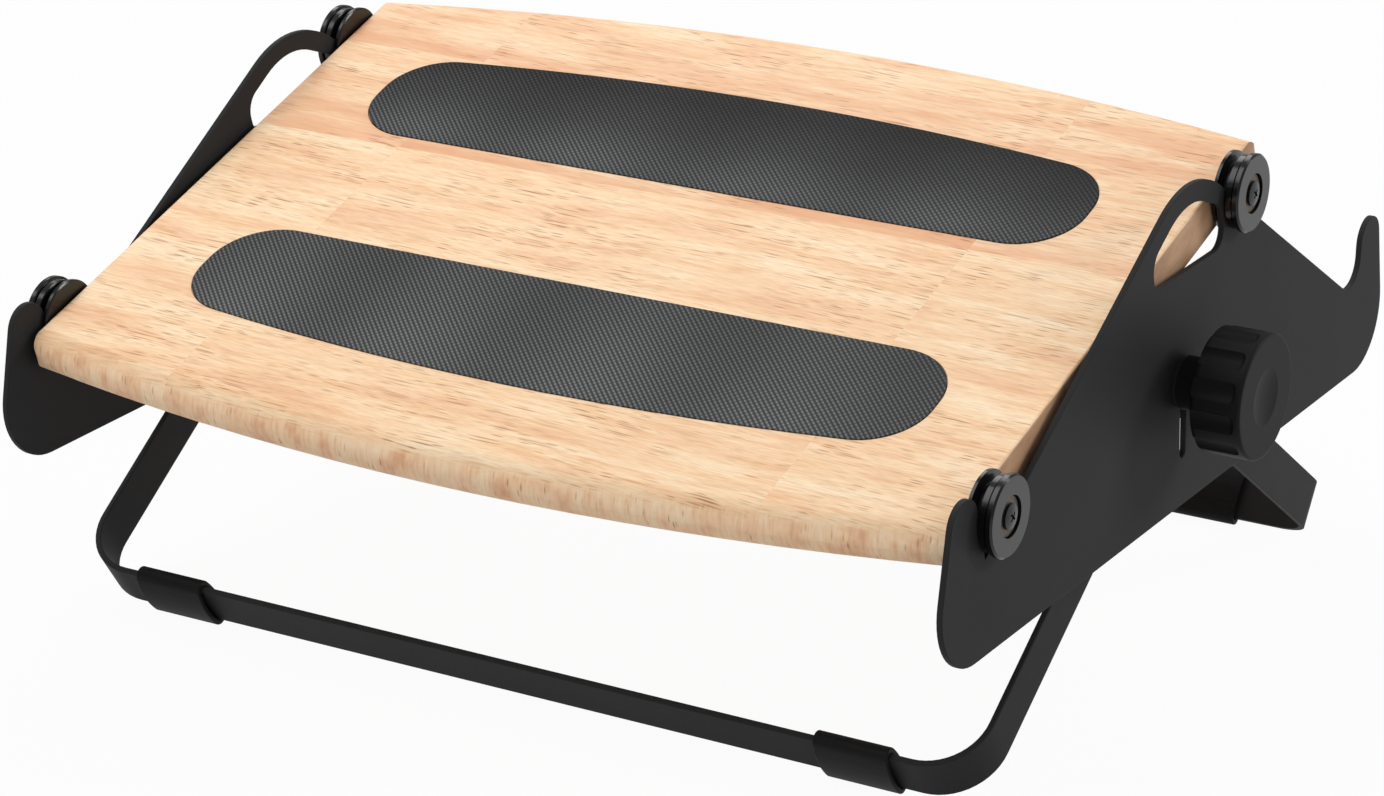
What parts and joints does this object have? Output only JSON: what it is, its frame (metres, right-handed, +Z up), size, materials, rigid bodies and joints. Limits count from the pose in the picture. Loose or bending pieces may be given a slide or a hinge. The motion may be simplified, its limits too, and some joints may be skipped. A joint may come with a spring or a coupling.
{
  "type": "footrest",
  "caption": "Tilting under-desk footrest: wooden board with anti-slip mats on grooved rollers, cradled by steel side plates on crossing U-shaped legs with clamp knobs.",
  "frame": {"origin": "on the floor, under the middle of the clamp bolts' axis", "axes": "+X to the user's right across the board, +Y from the user's side to the rear, +Z up"},
  "size_m": [0.597, 0.4921, 0.2469],
  "materials": {
    "rubberwood": "edge-glued rubberwood staves, clear matt lacquer",
    "mat_rubber": "dark grey embossed anti-slip sheet",
    "roller_nylon": "glossy black moulded plastic",
    "black_screw": "black-coated steel screw",
    "zinc_steel": "zinc-plated steel",
    "insert_metal": "plain brass",
    "powder_black": "matt black powder coat on steel",
    "sleeve_rubber": "matt black rubber",
    "knob_plastic": "satin black moulded plastic"
  },
  "bodies": {
    "front_leg": {"front_leg": "powder_black", "front_sleeve_left": "sleeve_rubber", "front_sleeve_right": "sleeve_rubber", "clamp_bolt_left": "zinc_steel", "clamp_bolt_right": "zinc_steel"},
    "rear_leg": {"rear_leg": "powder_black", "rear_sleeve_left": "sleeve_rubber", "rear_sleeve_right": "sleeve_rubber"},
    "clamp_washers": {"clamp_washer_left": "zinc_steel", "clamp_washer_right": "zinc_steel"},
    "side_plates": {"side_plate_left": "powder_black", "side_plate_right": "powder_black"},
    "platform": {"board": "rubberwood", "front_mat": "mat_rubber", "rear_mat": "mat_rubber", "board_insert_front_left": "insert_metal", "board_insert_front_right": "insert_metal", "board_insert_rear_left": "insert_metal", "board_insert_rear_right": "insert_metal", "roller_bush_front_left": "zinc_steel", "roller_bush_front_right": "zinc_steel", "roller_bush_rear_left": "zinc_steel", "roller_bush_rear_right": "zinc_steel", "roller_screw_front_left": "black_screw", "roller_screw_front_right": "black_screw", "roller_screw_rear_left": "black_screw", "roller_screw_rear_right": "black_screw", "roller_spacer_front_left": "zinc_steel", "roller_spacer_front_right": "zinc_steel", "roller_spacer_rear_left": "zinc_steel", "roller_spacer_rear_right": "zinc_steel"},
    "knob_left": {"knob_left": "knob_plastic", "knob_insert_left": "insert_metal", "knob_cap_left": "knob_plastic"},
    "knob_right": {"knob_right": "knob_plastic", "knob_insert_right": "insert_metal", "knob_cap_right": "knob_plastic"},
    "roller_front_left": {"roller_front_left": "roller_nylon"},
    "roller_rear_left": {"roller_rear_left": "roller_nylon"},
    "roller_front_right": {"roller_front_right": "roller_nylon"},
    "roller_rear_right": {"roller_rear_right": "roller_nylon"}
  },
  "joints": [
    {"name": "leg_spread", "type": "hinge", "parent": "front_leg", "child": "rear_leg", "pos_m": [0, 0, 0.14613], "axis": [1, 0, 0], "range_deg": [-60, 25]},
    {"name": "plate_tilt", "type": "hinge", "parent": "front_leg", "child": "clamp_washers", "pos_m": [0, 0, 0.14613], "axis": [1, 0, 0], "range_deg": [-15, 12]},
    {"name": "plate_height", "type": "slide", "parent": "clamp_washers", "child": "side_plates", "axis": [0, -0.0471, 0.9989], "range_m": [0, 0.036]},
    {"name": "board_lift", "type": "hinge", "parent": "side_plates", "child": "platform", "pos_m": [0, 0.0566, 0.2244], "axis": [-1, 0, 0], "range_deg": [0, 60]},
    {"name": "knob_turn_left", "type": "hinge", "parent": "front_leg", "child": "knob_left", "pos_m": [-0.2843, 0, 0.14613], "axis": [1, 0, 0], "continuous": true},
    {"name": "roller_spin_front_left", "type": "hinge", "parent": "platform", "child": "roller_front_left", "pos_m": [-0.2575, -0.1955, 0.14876], "axis": [1, 0, 0], "continuous": true},
    {"name": "roller_spin_rear_left", "type": "hinge", "parent": "platform", "child": "roller_rear_left", "pos_m": [-0.2575, 0.0566, 0.2244], "axis": [1, 0, 0], "continuous": true},
    {"name": "knob_turn_right", "type": "hinge", "parent": "front_leg", "child": "knob_right", "pos_m": [0.2843, 0, 0.14613], "axis": [1, 0, 0], "continuous": true},
    {"name": "roller_spin_front_right", "type": "hinge", "parent": "platform", "child": "roller_front_right", "pos_m": [0.2575, -0.1955, 0.14876], "axis": [1, 0, 0], "continuous": true},
    {"name": "roller_spin_rear_right", "type": "hinge", "parent": "platform", "child": "roller_rear_right", "pos_m": [0.2575, 0.0566, 0.2244], "axis": [1, 0, 0], "continuous": true}
  ]
}
